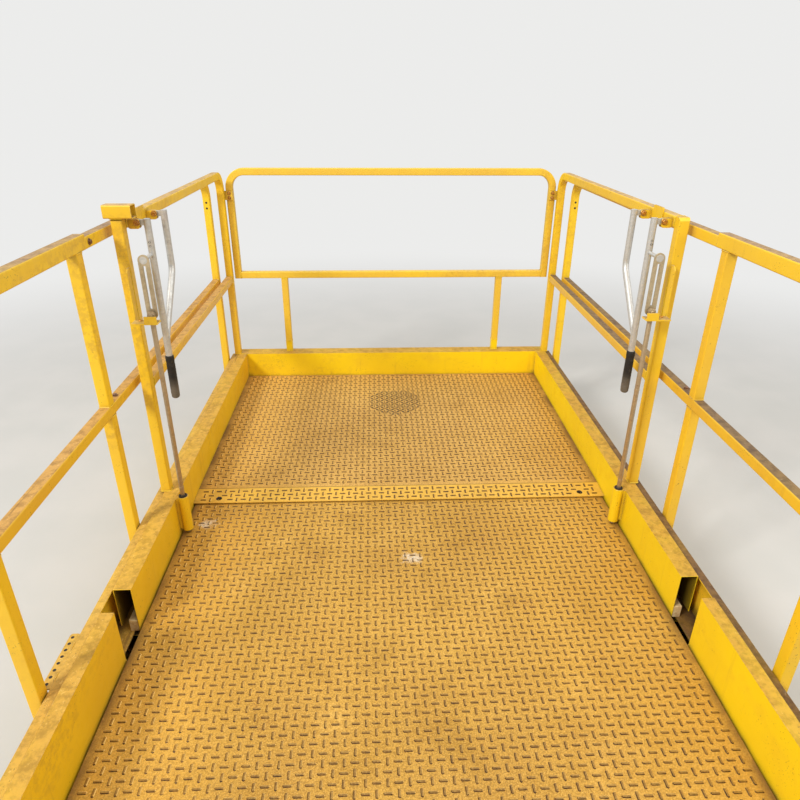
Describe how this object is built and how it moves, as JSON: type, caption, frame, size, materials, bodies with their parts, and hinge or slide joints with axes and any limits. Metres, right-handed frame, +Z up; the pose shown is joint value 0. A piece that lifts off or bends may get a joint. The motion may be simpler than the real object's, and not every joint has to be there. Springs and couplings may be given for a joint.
{
  "type": "scissor lift work platform",
  "caption": "Extending work platform of a rough-terrain scissor lift: treadplate decks, toe boards, tubular guard rails, sliding front extension, lock levers and rear entry gate.",
  "frame": {"origin": "middle of the scissor arms' fixed pivot, under the rear of the main frame", "axes": "+X to the right, +Y forward, the way the extension slides out, +Z up"},
  "size_m": [1.9166, 3.945, 1.435],
  "materials": {
    "yellow_paint": "worn gloss paint",
    "deck_paint": "worn treadplate",
    "galvanised": "dull zinc",
    "black_rubber": "matt",
    "nylon": "worn"
  },
  "bodies": {
    "main_frame": {"main_deck": "deck_paint", "side_beam_right": "yellow_paint", "side_beam_left": "yellow_paint", "side_toe_board_right": "yellow_paint", "side_toe_board_left": "yellow_paint", "cross_member_1": "yellow_paint", "cross_member_2": "yellow_paint", "cross_member_3": "yellow_paint", "cross_member_4": "yellow_paint", "roller_track_right": "yellow_paint", "roller_track_left": "yellow_paint", "pivot_bracket_right": "yellow_paint", "pivot_bracket_left": "yellow_paint", "top_rail_front_right": "yellow_paint", "top_rail_front_left": "yellow_paint", "top_rail_rear_right": "yellow_paint", "top_rail_rear_left": "yellow_paint", "post_near_right": "yellow_paint", "post_near_left": "yellow_paint", "post_second_right": "yellow_paint", "post_second_left": "yellow_paint", "mid_rail_front_right": "yellow_paint", "mid_rail_front_left": "yellow_paint", "mid_rail_middle_right": "yellow_paint", "mid_rail_middle_left": "yellow_paint", "mid_rail_rear_right": "yellow_paint", "mid_rail_rear_left": "yellow_paint", "rear_guard_right": "yellow_paint", "rear_guard_left": "yellow_paint", "slide_pad_right": "nylon", "slide_pad_left": "nylon"},
    "gate": {"gate": "yellow_paint"},
    "extension": {"extension_deck": "deck_paint", "extension_channel_right": "yellow_paint", "extension_channel_left": "yellow_paint", "wear_block_right": "nylon", "wear_block_left": "nylon", "front_toe_board": "yellow_paint", "lever_post_right": "yellow_paint", "lever_post_left": "yellow_paint", "extension_top_rail_right": "yellow_paint", "extension_top_rail_left": "yellow_paint", "extension_mid_rail_right": "yellow_paint", "extension_mid_rail_left": "yellow_paint", "front_guard": "yellow_paint", "lock_socket_right": "yellow_paint", "lock_socket_left": "yellow_paint", "rod_guide_right": "yellow_paint", "rod_guide_left": "yellow_paint"},
    "lever_right": {"lever_right": "galvanised", "lever_grip_right": "black_rubber"},
    "lock_right": {"lock_rod_right": "galvanised"},
    "link_right": {"lock_link_right": "galvanised"},
    "lever_left": {"lever_left": "galvanised", "lever_grip_left": "black_rubber"},
    "lock_left": {"lock_rod_left": "galvanised"},
    "link_left": {"lock_link_left": "galvanised"}
  },
  "joints": [
    {"name": "gate_swing", "type": "hinge", "parent": "main_frame", "child": "gate", "pos_m": [0.36, -0.303, 0.8], "axis": [0, 0, -1], "range_deg": [0, 90]},
    {"name": "extension_slide", "type": "slide", "parent": "main_frame", "child": "extension", "axis": [0, 1, 0], "range_m": [0, 1.15]},
    {"name": "lever_right_swing", "type": "hinge", "parent": "extension", "child": "lever_right", "pos_m": [0.835, 2.185, 1.33], "axis": [0, 1, 0], "range_deg": [0, 90]},
    {"name": "lock_right_lift", "type": "slide", "parent": "extension", "child": "lock_right", "axis": [0, 0, 1], "range_m": [0, 0.14354]},
    {"name": "link_right_tilt", "type": "hinge", "parent": "lock_right", "child": "link_right", "pos_m": [0.805, 2.0963, 1.06], "axis": [0, -1, 0], "range_deg": [0, 23.8]},
    {"name": "lever_left_swing", "type": "hinge", "parent": "extension", "child": "lever_left", "pos_m": [-0.835, 2.185, 1.33], "axis": [0, -1, 0], "range_deg": [0, 90]},
    {"name": "lock_left_lift", "type": "slide", "parent": "extension", "child": "lock_left", "axis": [0, 0, 1], "range_m": [0, 0.14354]},
    {"name": "link_left_tilt", "type": "hinge", "parent": "lock_left", "child": "link_left", "pos_m": [-0.805, 2.0963, 1.06], "axis": [0, 1, 0], "range_deg": [0, 23.8]}
  ],
  "couplings": [
    {"joint": "lock_right_lift", "follows": "lever_right_swing", "m_per_rad": 0.09138},
    {"joint": "link_right_tilt", "follows": "lever_right_swing", "ratio": 0.26441},
    {"joint": "lock_left_lift", "follows": "lever_left_swing", "m_per_rad": 0.09138},
    {"joint": "link_left_tilt", "follows": "lever_left_swing", "ratio": 0.26441}
  ]
}
